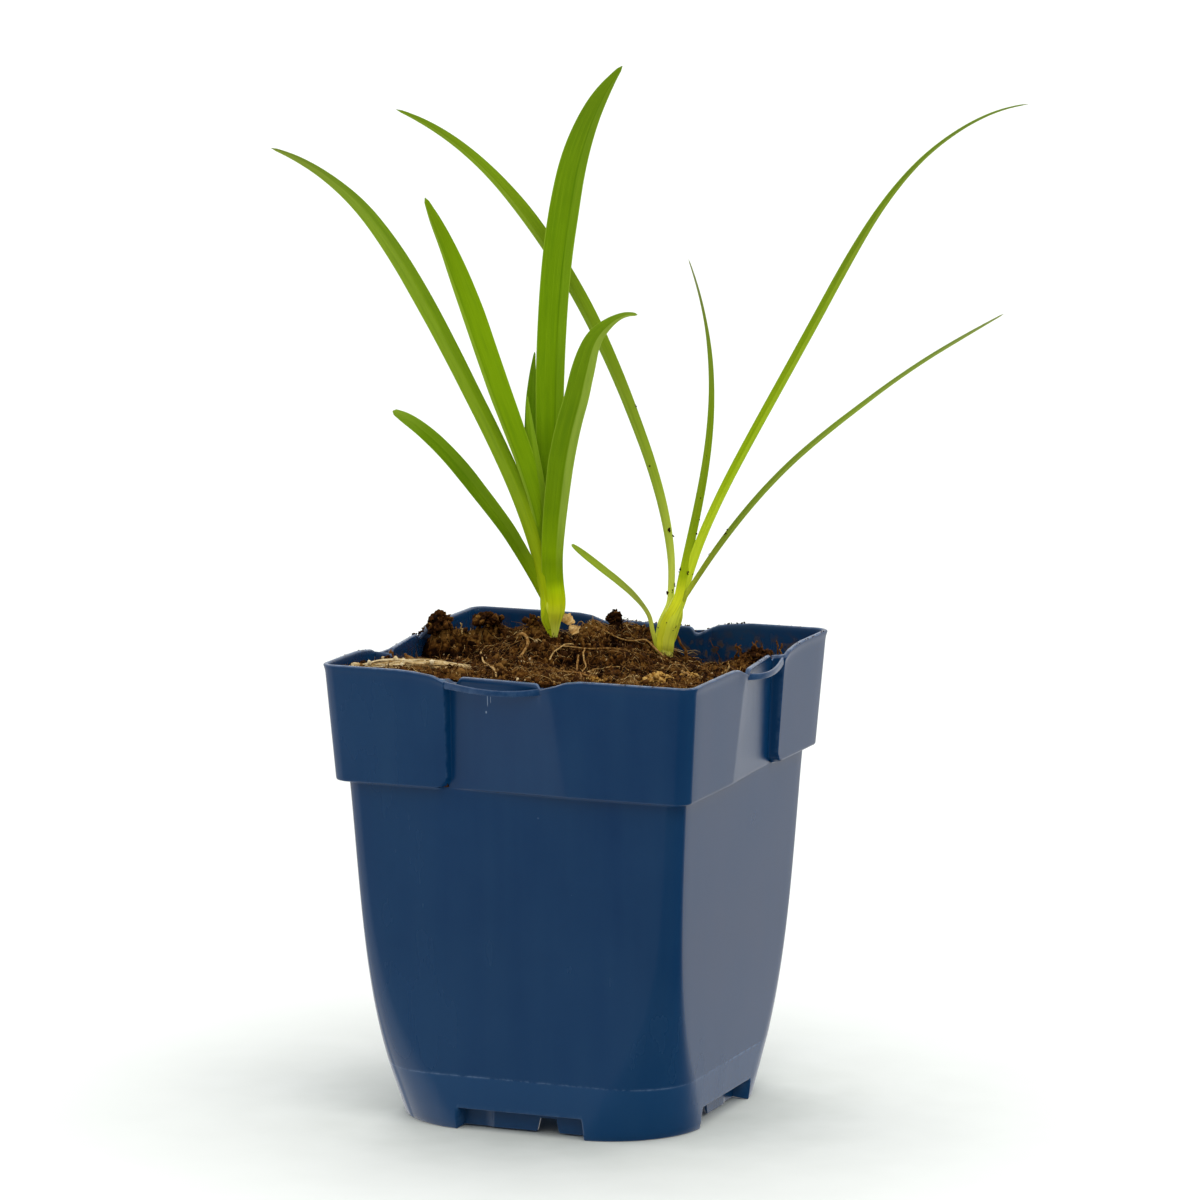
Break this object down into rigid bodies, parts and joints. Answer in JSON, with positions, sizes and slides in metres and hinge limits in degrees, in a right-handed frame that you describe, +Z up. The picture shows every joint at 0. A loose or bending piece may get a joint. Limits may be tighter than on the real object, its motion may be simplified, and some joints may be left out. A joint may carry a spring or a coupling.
{
  "type": "potted agapanthus",
  "caption": "Young agapanthus in a square thin-walled nursery pot: two shoots with arching strap leaves growing from peat, with loose roots and bark.",
  "frame": {"origin": "the middle of the whole plant's bounding box at the level of the pot's feet; the pot's own axis stands 10.2 mm towards -X and 6.6 mm towards -Y of it", "axes": "+Z up, along the pot's axis; X and Y square to the pot's faces"},
  "size_m": [0.1567, 0.1061, 0.2383],
  "materials": {
    "pot": "satin navy blue moulded plastic, worn pale along its edges",
    "peat": "matt dark brown fibrous peat",
    "shoot": "smooth pale yellow-green, finely veined",
    "leaf": "satin fresh green with fine lengthwise veins",
    "straw": "matt dry tan fibre",
    "root": "matt dry brown root",
    "scale": "papery tan bulb scale"
  },
  "bodies": {
    "root": {"bark_chip": "straw", "bulb_scale": "scale", "bulb_scale_small": "scale", "left_leaf_hooked": "leaf", "left_leaf_inner": "leaf", "left_leaf_long": "leaf", "left_leaf_low": "leaf", "left_leaf_second": "leaf", "left_leaf_spear": "leaf", "left_leaf_tall": "leaf", "left_shoot_base": "shoot", "peat": "peat", "peat_lump_back": "peat", "peat_lump_left": "peat", "peat_lump_mid": "peat", "pot": "pot", "right_leaf_arched": "leaf", "right_leaf_long": "leaf", "right_leaf_low": "leaf", "right_leaf_short": "leaf", "right_leaf_upright": "leaf", "right_shoot_base": "shoot", "root_front": "root", "root_loop": "root", "root_red": "root", "rootlet_back": "root", "rootlet_left": "root", "rootlet_mid": "root", "rootlet_right": "root", "straw_stalk": "straw"}
  },
  "joints": []
}
